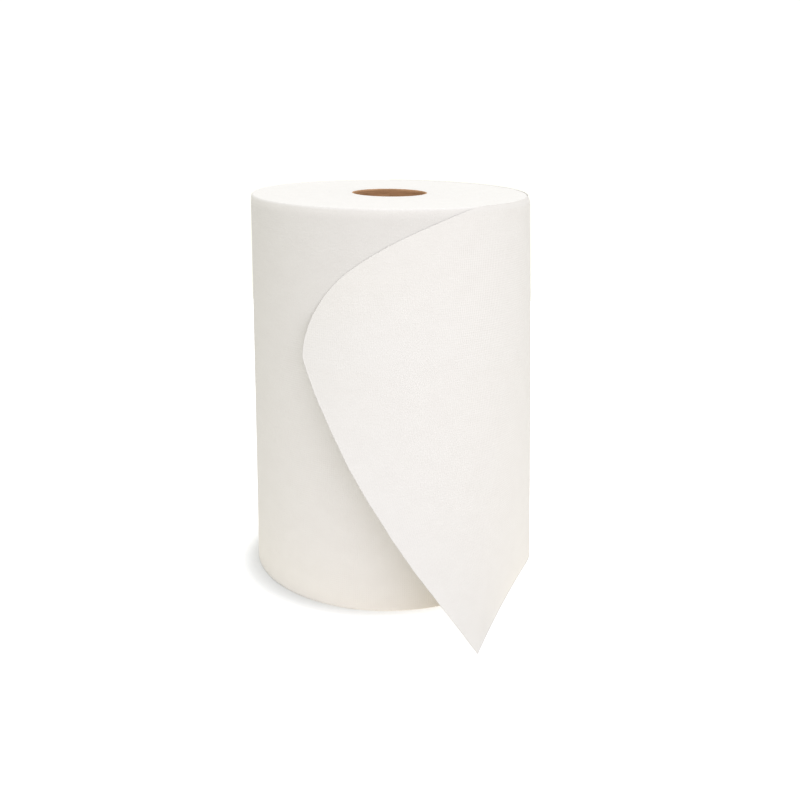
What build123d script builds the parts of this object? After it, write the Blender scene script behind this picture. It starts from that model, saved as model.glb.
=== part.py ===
from build123d import *
import math
import os

# A hardwound paper towel roll that stands on end, with the loose end of its sheet drawn out in front.
# Millimetres, +Z up, the front towards -Y. The origin is on the roll's axis, in the plane it stands on.

# The wound roll and the cardboard core that it is wound on
roll_height = 203.2
roll_diameter = 145.5
core_inner_diameter = 38.1
core_wall = 0.8
rim_rounding = 1.6
base_rounding = 0.8
corner_chords = 3
sheet_thickness = 0.4

# The line that the turns leave on both ends of the roll: one spiral, from near the core to near the rim
line_turns = 4
line_width = 0.5
line_depth = 0.3
line_margin = 4.0

# The loose outer turn: it leaves the roll at the back and stands further off the lower it is
opening_gap = 0.4
opening_run = 12.0
slack_at_rim = 0.6
slack_at_floor = 9.0
start_bite = 0.1

# The flare: at the side the sheet lifts off in a soft fold, and past it runs nearly straight at the floor
lift_off_turn = 90.0
flare_run = 28.0
fold_at_floor = 23.5
bend_at_floor = -0.07
bend_at_rim = 1.02
flare_power = 3.0

# The free end: how far past the lift-off it reaches at the rim, at its widest and at its tip
end_at_rim = 68.6
end_at_widest = 162.0
end_at_tip = 110.0
widest_below_rim = 71.7
shoulder_power = 0.79

# How finely the loose sheet's surface is worked out
rows = 24
steps = 24
row_crowding = 1.4

roll_radius = roll_diameter / 2
core_outer_radius = core_inner_diameter / 2 + core_wall
widest_height = roll_height - widest_below_rim


def core_tube():
    """The cardboard tube, sawn off level with the paper at both ends."""
    outside = Cylinder(core_outer_radius, roll_height, align=(Align.CENTER, Align.CENTER, Align.MIN))
    inside = Cylinder(core_inner_diameter / 2, roll_height, align=(Align.CENTER, Align.CENTER, Align.MIN))
    return outside - inside


def rounded_corner(radius, height, rounding, upwards):
    """Short chords round a corner of the roll's outline, from its wall in to its end face."""
    points = []
    for i in range(corner_chords + 1):
        angle = math.pi / 2 * i / corner_chords
        across = radius - rounding * (1 - math.cos(angle))
        along = rounding * (1 - math.sin(angle))
        points.append((across, height - along if upwards else height + along))
    return points


def wound_body():
    """All the tight turns as one ring round the core, turned from its outline, with a soft rim and base."""
    base = rounded_corner(roll_radius, 0, base_rounding, False)
    rim = rounded_corner(roll_radius, roll_height, rim_rounding, True)
    outline = [(core_outer_radius, 0), *reversed(base), *rim, (core_outer_radius, roll_height)]
    half_section = make_face(Polyline([(across, 0, up) for across, up in outline], close=True))
    return revolve(half_section, Axis.Z)


def winding_curve(start_radius):
    """A flat spiral made of half circles, whose centres lie by turns on and beside the roll's axis."""
    pitch = (roll_radius - core_outer_radius - 2 * line_margin) / line_turns
    halves = []
    near = start_radius
    side = 1
    for i in range(2 * line_turns):
        far = near + pitch / 2
        middle = (side * (near + far) / 2, side * (near - far) / 2)
        halves.append(ThreePointArc((0, side * near), middle, (0, -side * far)))
        near = far
        side = -side
    return halves


def winding_line():
    """The spiral line as a thin upright ribbon, to be cut from an end face."""
    near = winding_curve(core_outer_radius + line_margin - line_width / 2)
    far = winding_curve(core_outer_radius + line_margin + line_width / 2)
    outline = [*near, Line(near[-1] @ 1, far[-1] @ 1), *far, Line(far[0] @ 0, near[0] @ 0)]
    return extrude(make_face(outline), line_depth)


def end_past_lift_off(height):
    """The free end's outline: a rounded shoulder above its widest point, a straight slant down to the tip."""
    if height > widest_height:
        rise = min((height - widest_height) / widest_below_rim, 1)
        return end_at_rim + (end_at_widest - end_at_rim) * (1 - rise * rise) ** shoulder_power
    return end_at_tip + (end_at_widest - end_at_tip) * height / widest_height


def heading(along, height):
    """How far the loose sheet has turned from the back of the roll, in radians, at a length along it.

    It turns steadily, as the slack turn is bent, after a short outward start that opens the gap.
    Over flare_run, halfway at the lift-off, it turns through the fold, and the bend changes from 1 to the
    flare's own. Both are the flare's share at that height: 1 at the floor, and falling to 0 at the rim.
    """
    flare = max(1 - height / roll_height, 0) ** flare_power
    bend = bend_at_rim + (bend_at_floor - bend_at_rim) * flare
    past = (along - lift_off(height)) / flare_run + 0.5
    eased = min(max(past, 0), 1)
    flared_length = flare_run * (eased**3 - eased**4 / 2 + max(past - 1, 0))
    fold = math.radians(fold_at_floor) * flare * (3 * eased**2 - 2 * eased**3)
    steady = (along + (bend - 1) * flared_length) / slack_radius(height)
    opening_angle = 2 * (opening_gap + sheet_thickness + start_bite) / opening_run
    return steady + fold - opening_angle * max(1 - along / opening_run, 0)


def slack_radius(height):
    """Radius that the loose turn is bent to: the roll's own, and a slack that grows towards the floor."""
    return roll_radius + slack_at_rim + (slack_at_floor - slack_at_rim) * (1 - height / roll_height)


def lift_off(height):
    """Length of the loose turn from the back of the roll to where the sheet lifts off in front."""
    return math.radians(lift_off_turn) * slack_radius(height)


def level_section(height):
    """The loose sheet cut level at one height: its two faces as curves, joined at both ends."""
    step = (lift_off(height) + end_past_lift_off(height)) / steps
    x = 0
    y = roll_radius - sheet_thickness - start_bite
    inner = []
    outer = []
    for i in range(steps + 1):
        here = heading(i * step, height)
        inner.append((x, y, height))
        outer.append((x + sheet_thickness * math.sin(here), y + sheet_thickness * math.cos(here), height))
        middle = heading((i + 0.5) * step, height)
        x += step * math.cos(middle)
        y -= step * math.sin(middle)
    start = Line(outer[0], inner[0])
    end = Line(inner[-1], outer[-1])
    return make_face([Spline(inner), end, Spline(outer), start])


def loose_sheet():
    """The loose turn and its free end: one thin curved sheet, cut level at the rim and at the floor."""
    sections = []
    for i in range(rows + 1):
        share = 1 - (1 - i / rows) ** row_crowding
        sections.append(level_section(roll_height * share))
    return loft(sections, ruled=True)


def paper():
    """The whole web of paper, one piece: the tight turns, the lines on their ends and the loose sheet."""
    line = winding_line()
    body = wound_body() - line - Pos(0, 0, roll_height - line_depth) * line
    return body + loose_sheet()


os.makedirs("parts", exist_ok=True)
export_step(core_tube(), "parts/core.step")
export_step(paper(), "parts/towel.step")
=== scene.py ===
import math

import bpy
import numpy as np
from mathutils import Matrix, Vector


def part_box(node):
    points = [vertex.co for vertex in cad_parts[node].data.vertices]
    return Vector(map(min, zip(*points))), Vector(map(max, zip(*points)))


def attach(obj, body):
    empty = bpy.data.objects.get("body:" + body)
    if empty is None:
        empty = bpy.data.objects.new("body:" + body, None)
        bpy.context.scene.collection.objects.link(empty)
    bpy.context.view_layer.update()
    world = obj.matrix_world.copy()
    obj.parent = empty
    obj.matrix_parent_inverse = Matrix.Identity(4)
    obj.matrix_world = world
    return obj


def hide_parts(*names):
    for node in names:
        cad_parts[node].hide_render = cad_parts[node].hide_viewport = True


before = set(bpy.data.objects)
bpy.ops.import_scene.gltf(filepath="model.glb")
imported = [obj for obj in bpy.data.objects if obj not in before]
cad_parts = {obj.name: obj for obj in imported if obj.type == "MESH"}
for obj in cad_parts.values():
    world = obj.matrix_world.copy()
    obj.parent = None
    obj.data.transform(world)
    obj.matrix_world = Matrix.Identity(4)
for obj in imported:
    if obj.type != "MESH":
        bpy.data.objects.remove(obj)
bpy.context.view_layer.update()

# The core
# A tube of kraft board, wound on a slant from narrow strips and glued, then sawn off level with the paper.
# Inside, the strips' edges show as one fine slanting seam. The sawn ends are a little rough.

core_low, core_high = (Vector(corner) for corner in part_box("core"))
core_height = core_high.z - core_low.z
core_outer = (core_high.x - core_low.x) / 2
board_thickness = 0.0008
core_inner = core_outer - board_thickness
sawn_corner = 0.00016
seam_lead = 0.083            # how far up the tube the seam climbs in one turn
seam_half_width = 0.0006
seam_depth = 0.00022
saw_roughness = 0.00007
saw_waves = (17, 41, 67)     # how many of each of the three waves go round a sawn end
kraft_light = (0.72, 0.44, 0.25, 1)
kraft_dark = (0.40, 0.22, 0.11, 1)
darkest_fibre = 0.30         # where in the mixed noises the dark colour ends, and where the light one begins
lightest_fibre = 0.66
streak_density = (60, 900, 1)        # per metre, round the tube and up it
fleck_density = (1500, 2600, 1)
streak_share = 0.75
fleck_share = 0.25
fibre_relief = 0.0001


def closed_grid(name, points, chart):
    """A smooth mesh whose faces are the cells of a grid of points, rows x columns x 3, closed both ways.

    The last row and the last column repeat the first ones and share their vertices. chart is rows x columns
    x 2: each point's place on the piece rolled out flat, in metres, kept as the UV map.
    """
    rows = points.shape[0] - 1
    columns = points.shape[1] - 1
    row = np.arange(rows)[:, None]
    column = np.arange(columns)[None, :]
    corners = ((0, 0), (0, 1), (1, 1), (1, 0))
    index = [((row + r) % rows) * columns + (column + c) % columns for r, c in corners]
    flat = [chart[r:rows + r, c:columns + c] for r, c in corners]
    return mesh_from_arrays(
        name,
        points[:-1, :-1].reshape(-1, 3),
        np.stack(index, -1).reshape(-1, 4),
        np.stack(flat, 2).reshape(-1, 2),
    )


def mesh_from_arrays(name, vertices, quads, chart):
    """A smooth mesh from arrays: vertices n x 3, quads m x 4, and 4m x 2 UV places, one for each corner."""
    mesh = bpy.data.meshes.new(name)
    mesh.vertices.add(len(vertices))
    mesh.vertices.foreach_set("co", vertices.astype(np.float32).ravel())
    mesh.loops.add(quads.size)
    mesh.loops.foreach_set("vertex_index", quads.astype(np.int32).ravel())
    mesh.polygons.add(len(quads))
    mesh.polygons.foreach_set("loop_start", np.arange(0, quads.size, 4, dtype=np.int32))
    mesh.polygons.foreach_set("use_smooth", np.ones(len(quads), dtype=bool))
    uv = mesh.uv_layers.new(name="flat")
    uv.data.foreach_set("uv", chart.astype(np.float32).ravel())
    mesh.update(calc_edges=True)
    mesh.validate()
    piece = bpy.data.objects.new(name, mesh)
    bpy.context.scene.collection.objects.link(piece)
    return piece


def core_board(up_steps=180, around_steps=144):
    """The tube's whole skin: a narrow upright loop of inside wall, sawn end, outside wall and sawn end.

    It is turned once round the axis. The inside wall steps out by a bell curve across the seam, whose height
    at each angle is the lead times the share of the turn. The sawn ends rise and fall by three short waves.
    """
    up = np.linspace(0, 1, up_steps)
    near_inner = core_inner + sawn_corner
    near_outer = core_outer - sawn_corner
    radius = np.concatenate([
        np.full(up_steps, core_inner), [near_inner, near_outer],
        [core_outer, core_outer], [near_outer, near_inner, core_inner],
    ])
    level = np.concatenate([
        sawn_corner + up * (core_height - 2 * sawn_corner), [core_height, core_height],
        [core_height - sawn_corner, sawn_corner], [0, 0, sawn_corner],
    ])
    around = np.linspace(0, 2 * math.pi, around_steps + 1)
    turn, up_at = np.meshgrid(around, level)
    out = np.repeat(radius[:, None], len(around), 1)
    past_seam = (up_at - seam_lead * turn / (2 * math.pi) + seam_lead / 2) % seam_lead - seam_lead / 2
    seam = seam_depth * np.exp(-(past_seam / seam_half_width) ** 2)
    out += np.where(out < core_inner + sawn_corner / 2, seam, 0)
    waves = sum(np.sin(count * turn + start) for start, count in enumerate(saw_waves))
    rough = saw_roughness * waves / len(saw_waves)
    up_at = np.where(up_at > core_height / 2, np.minimum(up_at, core_height - saw_roughness + rough), up_at)
    up_at = np.where(up_at < core_height / 2, np.maximum(up_at, saw_roughness + rough), up_at)
    points = np.stack([out * np.sin(turn), out * np.cos(turn), core_low.z + up_at], -1)
    chart = np.stack([core_outer * turn, up_at], -1)
    return closed_grid("core_tube", points, chart)


def new_material(name, roughness, specular=0.3):
    """A plain surface with its roughness and specular set, to which each finish adds its own nodes."""
    material = bpy.data.materials.new(name)
    material.use_nodes = True
    surface = material.node_tree.nodes["Principled BSDF"]
    surface.inputs["Roughness"].default_value = roughness
    surface.inputs["Specular IOR Level"].default_value = specular
    return material, surface


def add_node(material, kind, settings=None, **inputs):
    """A node of that kind. Settings go to its properties and the rest to its sockets, as values or links.

    A socket's name has underscores for its spaces, and an underscore and a number is a socket by its place.
    """
    node = material.node_tree.nodes.new(kind)
    for key, value in (settings or {}).items():
        setattr(node, key, value)
    for key, value in inputs.items():
        socket = node.inputs[int(key[1:])] if key[0] == "_" else node.inputs[key.replace("_", " ")]
        if isinstance(value, bpy.types.NodeSocket):
            material.node_tree.links.new(value, socket)
        else:
            socket.default_value = value
    return node


def two_colours(material, share, first, second, low=0.0, high=1.0):
    """The colour that goes from first to second as the share goes from low to high."""
    ramp = add_node(material, "ShaderNodeValToRGB", Fac=share)
    ramp.color_ramp.elements[0].position = low
    ramp.color_ramp.elements[0].color = first
    ramp.color_ramp.elements[1].position = high
    ramp.color_ramp.elements[1].color = second
    return ramp.outputs["Color"]


def noise(material, place, density, detail, roughness=0.5, turned=0.0):
    """A noise over the rolled-out piece, drawn out to so many to the metre each way and then turned.

    The turn comes last, so it moves the pattern and doesn't tilt what is drawn out.
    """
    scaled = add_node(material, "ShaderNodeMapping", Vector=place, Rotation=(0, 0, turned), Scale=density)
    texture = add_node(material, "ShaderNodeTexNoise", Vector=scaled.outputs["Vector"], Scale=1,
                       Detail=detail, Roughness=roughness)
    return texture.outputs["Fac"]


def add_times(material, value, share, rest):
    """The value times its share, and the rest added to it."""
    return add_node(material, "ShaderNodeMath", {"operation": "MULTIPLY_ADD"},
                    _0=value, _1=share, _2=rest).outputs[0]


def kraft_board():
    """Brown recycled board: long fibre streaks round the tube over finer flecks, rough and hardly shiny."""
    material, surface = new_material("kraft_board", roughness=0.82)
    place = add_node(material, "ShaderNodeUVMap", {"uv_map": "flat"}).outputs["UV"]
    slant = math.atan2(seam_lead, 2 * math.pi * core_outer)
    streaks = noise(material, place, streak_density, detail=5, roughness=0.6, turned=-slant)
    flecks = noise(material, place, fleck_density, detail=2)
    mixed = add_times(material, flecks, fleck_share, add_times(material, streaks, streak_share, 0))
    colour = two_colours(material, mixed, kraft_dark, kraft_light, darkest_fibre, lightest_fibre)
    bump = add_node(material, "ShaderNodeBump", Strength=0.5, Distance=fibre_relief, Height=mixed)
    material.node_tree.links.new(colour, surface.inputs["Base Color"])
    material.node_tree.links.new(bump.outputs["Normal"], surface.inputs["Normal"])
    return material


core_tube = core_board()
core_tube.data.materials.append(kraft_board())
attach(core_tube, "root")
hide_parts("core")

# The wound paper
# One long web of soft white towel, wound tight round the core in hundreds of turns and sawn through at both
# ends. Each end is flat and faintly ringed. A painted shade makes the wall a little darker than the ends,
# fading out over the top few millimetres. The wall leans in over its last few millimetres below the rim,
# and isn't quite even.

towel_low, towel_high = (Vector(corner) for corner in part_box("towel"))
roll_height = towel_high.z - towel_low.z
roll_radius = -towel_low.x
bore_gap = 0.00005
paper_bore = core_outer + bore_gap
bore_skin = 0.00001          # nothing moves this close to the bore
rim_lean = 0.0004
rim_lean_depth = 0.006
rim_softness = 0.0012
base_softness = 0.0008
turn_pitch = 0.0021          # one ring in the relief stands for about fifteen turns
turn_relief = 0.00004
swell_shares = (0.6, 0.25, 0.15)     # of a ring's relief: what is steady, and what two swells add
swell_rates = (420, 1130)            # radians per metre of the radius
relief_margin = 0.0016       # how far in from the wall the relief of the ends stops
spiral_turns = 4             # the deeper line: where the winding was a little slacker
spiral_margin = 0.004
spiral_overrun = 0.001
spiral_half_width = 0.0004
spiral_depth = 0.00016
wall_unevenness = 0.00009
# Each wave of the wall: its strength, how many go round, its radians per metre of height, and its start
wall_waves = ((1, 3, 11, 0), (0.6, 7, -24, 1), (0.4, 12, 0, 2))
paper_white = (0.919, 0.902, 0.883, 1)
paper_shade = (0.903, 0.884, 0.864, 1)
darkest_mottle = 0.38        # where in the mixed noises the darker white ends, and where the lighter begins
lightest_mottle = 0.78
fibre_density = (1700, 2600, 1)
cloud_density = (90, 120, 1)
fibre_share = 0.35
full_painted_shade = 0.905           # the share of its colour that paper keeps under the full painted shade
wall_skin = 0.001            # painted shade: full to half this far in from the wall, gone at all of it
dot_pitch = 0.0016           # from dot to dot, along the slanting rows
dot_slant = math.radians(45)
dot_share = 0.7
press_depth = 0.00004


def end_relief(out, turn):
    """How far a point of a sawn end lies below flat, at a radius and an angle.

    A wave along the radius whose crests follow a spiral, its height eased by two slow swells, and one deeper
    line, a bell curve across a spiral of a few turns.
    """
    phase = out / turn_pitch - turn / (2 * math.pi)
    steady, slow, quick = swell_shares
    slow_rate, quick_rate = swell_rates
    ease = steady + slow * np.sin(out * slow_rate + 2 * np.sin(turn)) + quick * np.sin(out * quick_rate + 1)
    rings = turn_relief * ease * (1 + np.cos(2 * math.pi * phase)) / 2
    first = core_outer + spiral_margin
    last = roll_radius - spiral_margin
    place = (out - first) / (last - first) * spiral_turns - turn / (2 * math.pi)
    beside = (place - np.round(place)) * (last - first) / spiral_turns
    on_line = (out > first - spiral_overrun) & (out < last + spiral_overrun)
    return rings + np.where(on_line, spiral_depth * np.exp(-(beside / spiral_half_width) ** 2), 0)


def wall_radius(height):
    """The roll's radius at a height: it leans in as the square of the way up over the last millimetres."""
    return roll_radius - rim_lean * np.clip(1 - (roll_height - height) / rim_lean_depth, 0, 1) ** 2


def smooth_step(value, low, high):
    """From 0 at low to 1 at high, level at both."""
    share = np.clip((value - low) / (high - low), 0, 1)
    return share**2 * (3 - 2 * share)


def add_painted_shade(piece, painted_shade):
    """The painted shade: an attribute that darkens the paper, one value from 0 to 1 for each vertex."""
    attribute = piece.data.attributes.new("painted_shade", "FLOAT", "POINT")
    attribute.data.foreach_set("value", painted_shade.astype(np.float32).ravel())


def wound_turns(face_steps=150, wall_steps=26, lean_steps=8, corner_steps=5, bore_steps=6, around_steps=240):
    """The roll's whole skin: the outline of its half section, a closed loop, carried once round the axis.

    The outline runs from the bore out over the top end, round the soft rim as a quarter circle, down the
    wall, round the base's corner, back in and up the bore. The ends sink by end_relief. The wall moves in by
    a sum of slow waves, eased off towards both ends by the root of a half wave. It carries the full painted
    shade, which fades out in towards the ends by smooth steps of the radius and of the depth below the rim,
    so a band just below the rim is left lighter.
    """
    corner = np.linspace(0, math.pi / 2, corner_steps + 1)[1:]
    face = np.linspace(0, 1, face_steps)
    rim_foot = roll_height - rim_softness
    rim_out = wall_radius(rim_foot) - rim_softness
    base_out = roll_radius - base_softness
    lean = np.linspace(rim_foot, roll_height - rim_lean_depth, lean_steps)[1:]
    wall = np.linspace(roll_height - rim_lean_depth, base_softness, wall_steps)[1:]
    bore = np.linspace(0, roll_height, bore_steps + 1)[1:]
    radius = np.concatenate([
        paper_bore + face * (rim_out - paper_bore), rim_out + rim_softness * np.sin(corner),
        wall_radius(lean), wall_radius(wall), base_out + base_softness * np.cos(corner),
        paper_bore + face[-2::-1] * (base_out - paper_bore), np.full(bore_steps, paper_bore),
    ])
    level = np.concatenate([
        np.full(face_steps, roll_height), rim_foot + rim_softness * np.cos(corner),
        lean, wall, base_softness * (1 - np.sin(corner)),
        np.zeros(face_steps - 1), bore,
    ])
    around = np.linspace(0, 2 * math.pi, around_steps + 1)
    turn, up = np.meshgrid(around, level)
    out = np.repeat(radius[:, None], len(around), 1)
    off_bore = out > paper_bore + bore_skin
    ends = end_relief(out, turn) * ((out < roll_radius - relief_margin) & off_bore)
    up = np.where(up > roll_height / 2, up - ends, up + ends)
    slow = sum(strength * np.sin(count * turn + climb * up + start)
               for strength, count, climb, start in wall_waves)
    middle = np.sqrt(np.sin(math.pi * np.clip(up / roll_height, 0, 1)))
    out -= wall_unevenness * (1 + slow / 2) / 2 * middle * off_bore
    points = np.stack([out * np.sin(turn), out * np.cos(turn), towel_low.z + up], -1)
    run = np.concatenate([[0], np.cumsum(np.hypot(np.diff(radius), np.diff(level)))])
    chart = np.stack([roll_radius * turn, np.repeat(-run[:, None], len(around), 1)], -1)
    piece = closed_grid("wound_paper", points, chart)
    # painted shade: full on the wall, fading out onto the ends and over the top few millimetres below the rim
    on_wall = smooth_step(out, roll_radius - wall_skin, roll_radius - wall_skin / 2)
    below_rim = smooth_step(roll_height - up, 0, rim_lean_depth)
    add_painted_shade(piece, (on_wall * below_rim)[:-1, :-1])
    return piece


def towel_paper():
    """Soft white towel: a fine pressed dot pattern and loose fibres, matte, with a faint warm mottle.

    The dots are the product of two sine waves across each other. The painted shade darkens the colour.
    """
    material, surface = new_material("towel_paper", roughness=0.93, specular=0.15)
    surface.inputs["Sheen Weight"].default_value = 0.08
    surface.inputs["Sheen Roughness"].default_value = 0.6
    place = add_node(material, "ShaderNodeUVMap", {"uv_map": "flat"}).outputs["UV"]
    dot_place = add_node(material, "ShaderNodeMapping", Vector=place, Rotation=(0, 0, dot_slant),
                         Scale=(2 * math.pi / dot_pitch, 2 * math.pi / dot_pitch, 1))
    axes = add_node(material, "ShaderNodeSeparateXYZ", Vector=dot_place.outputs["Vector"])
    across = add_node(material, "ShaderNodeMath", {"operation": "SINE"}, _0=axes.outputs["X"])
    along = add_node(material, "ShaderNodeMath", {"operation": "SINE"}, _0=axes.outputs["Y"])
    dots = add_node(material, "ShaderNodeMath", {"operation": "MULTIPLY"},
                    _0=across.outputs[0], _1=along.outputs[0])
    fibres = noise(material, place, fibre_density, detail=4, roughness=0.65)
    clouds = noise(material, place, cloud_density, detail=3)
    mottle = add_times(material, fibres, fibre_share, clouds)
    colour = two_colours(material, mottle, paper_shade, paper_white, darkest_mottle, lightest_mottle)
    # painted shade: the piece's attribute darkens the paper's colour
    painted_shade = add_node(material, "ShaderNodeAttribute", {"attribute_name": "painted_shade"}).outputs["Fac"]
    kept = add_node(material, "ShaderNodeMapRange", Value=painted_shade, To_Min=1.0, To_Max=full_painted_shade)
    shaded = add_node(material, "ShaderNodeVectorMath", {"operation": "SCALE"},
                      _0=colour, Scale=kept.outputs["Result"])
    relief = add_times(material, dots.outputs[0], dot_share, fibres)
    bump = add_node(material, "ShaderNodeBump", Strength=1.0, Distance=press_depth, Height=relief)
    material.node_tree.links.new(shaded.outputs["Vector"], surface.inputs["Base Color"])
    material.node_tree.links.new(bump.outputs["Normal"], surface.inputs["Normal"])
    return material


wound_paper = wound_turns()
towel_finish = towel_paper()
wound_paper.data.materials.append(towel_finish)
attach(wound_paper, "root")
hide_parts("towel")

# The loose sheet
# The same web's last turn, come loose. It leaves the roll at the back, clings to it at the rim and stands
# further off towards the floor, and in front it flares away. Its end is torn, rounded above and slanting
# down to a sharp tip.

sheet_thickness = 0.00022
opening_gap = 0.0004
opening_run = 0.012
start_bite = 0.0001
slack_at_rim = 0.0006
slack_at_floor = 0.009
lift_off_turn = math.radians(90)
flare_run = 0.028
fold_at_floor = math.radians(23.5)
bend_at_floor = -0.07
bend_at_rim = 1.02
flare_power = 3
end_at_rim = 0.0677
end_at_widest = 0.1627
end_at_tip = 0.1096
widest_height = roll_height - 0.0710
shoulder_power = 0.803
settled_from = 0.62          # shares of the height, between which the free end comes to rest on the roll
settled_to = 0.82
settled_gap = 0.00012
cling_depth = 0.0035         # over this much of its top the sheet closes on the roll
cling_gap = 0.00004
lip_length = 0.0016          # the last of the sheet curls outwards a little
lip_turn = math.radians(9)
edge_tear = 0.00012
# Each wave of the torn edge: its strength, its radians from the lowest row to the top one, and its start
tear_waves = ((1, 47, 1), (0.6, 113, 0), (0.4, 239, 2))
row_crowding = 1.6           # above 1, the rows lie closer towards the rim
step_crowding = 1.12         # above 1, the steps along a row lie closer towards the free end
full_stand_off = 0.035       # clear of the roll by this much, the one ply carries the full painted shade
stand_off_power = 0.7
shade_fade = 0.10            # over this length from the back the wall's painted shade fades out


def slack_radius(height):
    """The loose turn's radius of bend: the roll's own, and a slack that grows evenly towards the floor."""
    return roll_radius + slack_at_rim + (slack_at_floor - slack_at_rim) * (1 - height / roll_height)


def lift_off(height):
    """The length from the back of the roll to the lift-off in front: its angle times the slack radius."""
    return lift_off_turn * slack_radius(height)


def end_past_lift_off(height):
    """The torn end's outline: a rounded shoulder above the widest point, a straight slant to the tip."""
    rise = np.clip((height - widest_height) / (roll_height - widest_height), 0, 1)
    shoulder = end_at_rim + (end_at_widest - end_at_rim) * (1 - rise**2) ** shoulder_power
    slant = end_at_tip + (end_at_widest - end_at_tip) * height / widest_height
    return np.where(height > widest_height, shoulder, slant)


def heading(along, height, length):
    """How far the sheet has turned from the back of the roll, at a length along it.

    The length over the slack radius, less a short outward turn at the start. Over flare_run, halfway at the
    lift-off, it turns through the fold and the bend changes. The fold, and the change of the bend from its
    share at the rim to its share at the floor, grow as a power of the way down. The last lip_length turns
    outwards.
    """
    flare = np.clip(1 - height / roll_height, 0, 1) ** flare_power
    bend = bend_at_rim + (bend_at_floor - bend_at_rim) * flare
    past = (along - lift_off(height)) / flare_run + 0.5
    eased = np.clip(past, 0, 1)
    flared = flare_run * (eased**3 - eased**4 / 2 + np.maximum(past - 1, 0))
    fold = fold_at_floor * flare * smooth_step(past, 0, 1)
    opening = 2 * (opening_gap + sheet_thickness + start_bite) / opening_run
    lip = np.clip((along - length + lip_length) / lip_length, 0, 1) ** 2
    return ((along + (bend - 1) * flared) / slack_radius(height) + fold
            - opening * np.maximum(1 - along / opening_run, 0) - lip_turn * lip)


def drawn_in(x, y, share, radius):
    """The points with that share of what lies outside a radius taken off, straight towards the axis."""
    off_axis = np.hypot(x, y)
    kept = 1 - share * np.maximum(off_axis - radius, 0) / off_axis
    return x * kept, y * kept


def loose_paper(along_steps=240, up_steps=170):
    """The sheet as a thin closed skin: each level line is the sum of short steps along its heading.

    Two things draw the lines in towards the roll's wall. Past the lift-off the upper ones settle, by the
    product of smooth steps of the height and of the way to the free end. Over the top cling_depth all of
    them close on the wall, by a smooth step of the height. The other face lies one thickness outwards, and a
    strip joins the two faces' edges all the way round. The painted shade is a power of how far the sheet
    stands clear, or the wall's own painted shade where that is more, which fades from the back by a smooth
    step of the length.
    """
    share = np.linspace(0, 1, up_steps + 1)
    height = (roll_height * (1 - (1 - share) ** row_crowding))[:, None]
    torn = sum(strength * np.sin(share * rate + start) for strength, rate, start in tear_waves)
    length = lift_off(height) + end_past_lift_off(height) + edge_tear * torn[:, None]
    along_share = np.linspace(0, 1, along_steps + 1)[None, :]
    along = length * (1 - (1 - along_share) ** step_crowding)
    middle = (along[:, 1:] + along[:, :-1]) / 2
    step = np.diff(along, axis=1)
    turned = heading(middle, height, length)
    start = np.zeros((up_steps + 1, 1))
    start_radius = roll_radius - sheet_thickness - start_bite
    x = np.hstack([start, np.cumsum(step * np.cos(turned), 1)])
    y = start_radius - np.hstack([start, np.cumsum(step * np.sin(turned), 1)])
    risen = smooth_step(height / roll_height, settled_from, settled_to)
    settled = risen * smooth_step(along, lift_off(height), length)
    x, y = drawn_in(x, y, settled, roll_radius + settled_gap)
    clung = smooth_step(height, roll_height - cling_depth, roll_height)
    x, y = drawn_in(x, y, clung, wall_radius(height) + cling_gap)
    facing = heading(along, height, length)
    up = np.broadcast_to(height, x.shape)
    inner = np.stack([x, y, towel_low.z + up], -1)
    outer = inner + sheet_thickness * np.stack([np.sin(facing), np.cos(facing), np.zeros_like(x)], -1)
    piece = two_faced_sheet("loose_sheet", inner, outer, np.stack([along, up], -1))
    # painted shade: the sheet is darker the further it stands clear of the roll
    clear = np.clip((np.hypot(x, y) - roll_radius) / full_stand_off, 0, 1) ** stand_off_power
    painted_shade = np.maximum(clear, 1 - smooth_step(along, 0, shade_fade))
    add_painted_shade(piece, np.stack([painted_shade, painted_shade]))
    return piece


def two_faced_sheet(name, inner, outer, chart):
    """A closed thin skin from two grids of points, one behind the other, with a strip round their edges."""
    rows, columns = inner.shape[:2]
    place = np.arange(rows * columns).reshape(rows, columns)
    cell = np.stack([place[:-1, :-1], place[1:, :-1], place[1:, 1:], place[:-1, 1:]], -1).reshape(-1, 4)
    rim = np.concatenate([place[0, :-1], place[:-1, -1], place[-1, :0:-1], place[:0:-1, 0]])
    behind = rows * columns
    strip = np.stack([rim, np.roll(rim, -1), np.roll(rim, -1) + behind, rim + behind], -1)
    quads = np.concatenate([cell[:, ::-1], cell + behind, strip])
    vertices = np.concatenate([inner.reshape(-1, 3), outer.reshape(-1, 3)])
    flat = np.concatenate([chart.reshape(-1, 2)] * 2)
    return mesh_from_arrays(name, vertices, quads, flat[quads].reshape(-1, 2))


loose_sheet = loose_paper()
loose_sheet.data.materials.append(towel_finish)
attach(loose_sheet, "root")
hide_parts("towel")

# The floor
# A round white table top, lit from below until it is burnt out where the camera sees it. The warmer and
# weaker glow that it gives the roll is strongest round the foot. At the left and in front of the foot its
# glow is turned down into a soft painted shadow.

floor_radius = 0.7
floor_corners = 96
floor_white = (0.79, 0.80, 0.81, 1)
floor_glow = (1.0, 0.87, 0.63, 1)
glow_strength = 0.30
foot_glow = 0.50
foot_glow_centre = (-0.012, -0.012, 0)
foot_glow_from = 0.080
foot_glow_to = 0.110
seen_glow = (1.0, 1.0, 1.0, 1)
seen_glow_strength = 0.8
# the painted shadow round the foot: its centre, and where it starts and ends for each glow
shade_centre = (-0.0153, -0.0095, 0)
seen_shade_from = roll_radius - 0.019
seen_shade_to = roll_radius + 0.009
lit_shade_from = roll_radius - 0.024
lit_shade_to = roll_radius - 0.007


def distance_from(material, place, centre):
    """How far a place is from a centre."""
    return add_node(material, "ShaderNodeVectorMath", {"operation": "DISTANCE"},
                    _0=place, _1=centre).outputs["Value"]


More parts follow.
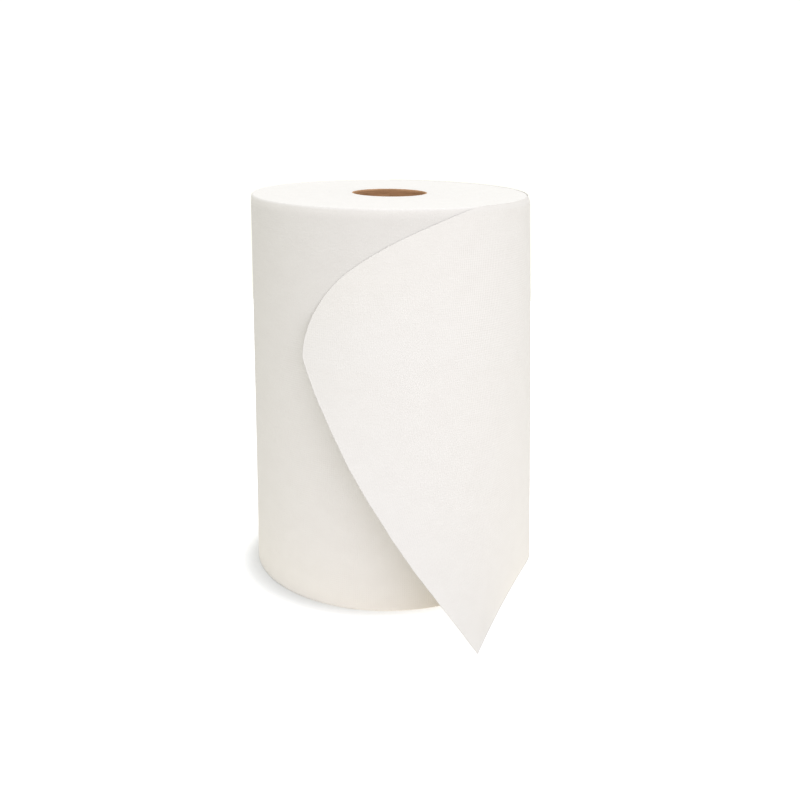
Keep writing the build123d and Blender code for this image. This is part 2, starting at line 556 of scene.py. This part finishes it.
def eased_over(material, distance, near, far, at_near, at_far):
    """A value that goes smoothly from at_near to at_far as the distance goes from near to far."""
    return add_node(material, "ShaderNodeMapRange", {"interpolation_type": "SMOOTHSTEP"}, Value=distance,
                    From_Min=near, From_Max=far, To_Min=at_near, To_Max=at_far).outputs["Result"]


def white_top():
    """Matt white that glows by two rules, one for what the camera sees and one for what lights the roll.

    Both fall to nothing towards the centre of a painted shadow by the foot, by a smooth step of the distance
    from it. The glow that lights the roll goes from the foot's strength to the floor's by a smooth step of
    the distance too.
    """
    material, surface = new_material("white_top", roughness=0.9, specular=0.0)
    surface.inputs["Base Color"].default_value = floor_white
    place = add_node(material, "ShaderNodeTexCoord").outputs["Object"]
    seen = add_node(material, "ShaderNodeLightPath").outputs["Is Camera Ray"]
    from_shade = distance_from(material, place, shade_centre)
    from_foot = distance_from(material, place, foot_glow_centre)
    foot_light = eased_over(material, from_foot, foot_glow_from, foot_glow_to, foot_glow, glow_strength)
    lit_light = eased_over(material, from_shade, lit_shade_from, lit_shade_to, 0.0, foot_light)
    seen_light = eased_over(material, from_shade, seen_shade_from, seen_shade_to, 0.0, seen_glow_strength)
    strength = add_node(material, "ShaderNodeMapRange", Value=seen, To_Min=lit_light, To_Max=seen_light)
    colour = two_colours(material, seen, floor_glow, seen_glow)
    material.node_tree.links.new(strength.outputs["Result"], surface.inputs["Emission Strength"])
    material.node_tree.links.new(colour, surface.inputs["Emission Color"])
    return material


round_the_floor = np.linspace(0, 2 * math.pi, floor_corners, endpoint=False)
flat_circle = np.stack([np.cos(round_the_floor), np.sin(round_the_floor), np.zeros(floor_corners)], -1)
floor_mesh = bpy.data.meshes.new("floor")
floor_mesh.from_pydata((floor_radius * flat_circle).tolist(), [], [list(range(floor_corners))])
floor = bpy.data.objects.new("floor", floor_mesh)
bpy.context.scene.collection.objects.link(floor)
floor.data.materials.append(white_top())

# The light
# One broad soft lamp high overhead, one in front at the right, and a pale room all round, which lights the
# roll evenly and is burnt out where the camera sees it.

room_colour = (1.0, 1.0, 0.92, 1)
room_strength = 0.542
seen_strength = 1.1
roll_middle = (0, 0, roll_height / 2)

room = bpy.data.worlds.new("room")
bpy.context.scene.world = room
room.use_nodes = True
backdrop = room.node_tree.nodes["Background"]
backdrop.inputs["Color"].default_value = room_colour
room_seen = add_node(room, "ShaderNodeLightPath").outputs["Is Camera Ray"]
room_light = add_node(room, "ShaderNodeMapRange", Value=room_seen, To_Min=room_strength, To_Max=seen_strength)
room.node_tree.links.new(room_light.outputs["Result"], backdrop.inputs["Strength"])


def soft_lamp(name, place, side, power, colour):
    """A square lamp at a place, turned so that it faces the roll's middle."""
    lamp = bpy.data.lights.new(name, "AREA")
    lamp.shape = "SQUARE"
    lamp.size = side
    lamp.energy = power
    lamp.color = colour
    holder = bpy.data.objects.new(name, lamp)
    holder.location = place
    holder.rotation_euler = (Vector(roll_middle) - Vector(place)).to_track_quat("-Z", "Y").to_euler()
    bpy.context.scene.collection.objects.link(holder)


soft_lamp("overhead_lamp", place=(0, 0, 3.0), side=3.2, power=59.9, colour=(0.948, 0.953, 1.0))
soft_lamp("right_lamp", place=(0.5, -1.45, 0.45), side=1.0, power=5.8, colour=(0.90, 0.86, 1.0))

# The camera
# It stands just over half a metre from the roll and a little above its rim, and looks slightly down. The
# lens is shifted a little, because the photograph's frame isn't centred on its axis.

image_side = 800
sensor_width = 36.0
focal_pixels = 1006.3
aim_pixel = (388.45, 320.0)          # where the lens axis meets the picture
camera_back = 0.5333
camera_up = 0.2591
camera_pitch = math.radians(13.21)
camera_roll = math.radians(0.5)

camera_data = bpy.data.cameras.new("camera")
camera_data.sensor_width = sensor_width
camera_data.lens = focal_pixels * sensor_width / image_side
camera_data.shift_x = (image_side / 2 - aim_pixel[0]) / image_side
camera_data.shift_y = (aim_pixel[1] - image_side / 2) / image_side
camera_data.clip_start = 0.01
camera = bpy.data.objects.new("camera", camera_data)
turn_down = Matrix.Rotation(math.pi / 2 - camera_pitch, 4, "X")
turn_round = Matrix.Rotation(camera_roll, 4, "Z")
camera.matrix_world = Matrix.Translation((0, -camera_back, camera_up)) @ turn_down @ turn_round
bpy.context.scene.collection.objects.link(camera)
bpy.context.scene.camera = camera
bpy.context.scene.view_settings.view_transform = "Standard"
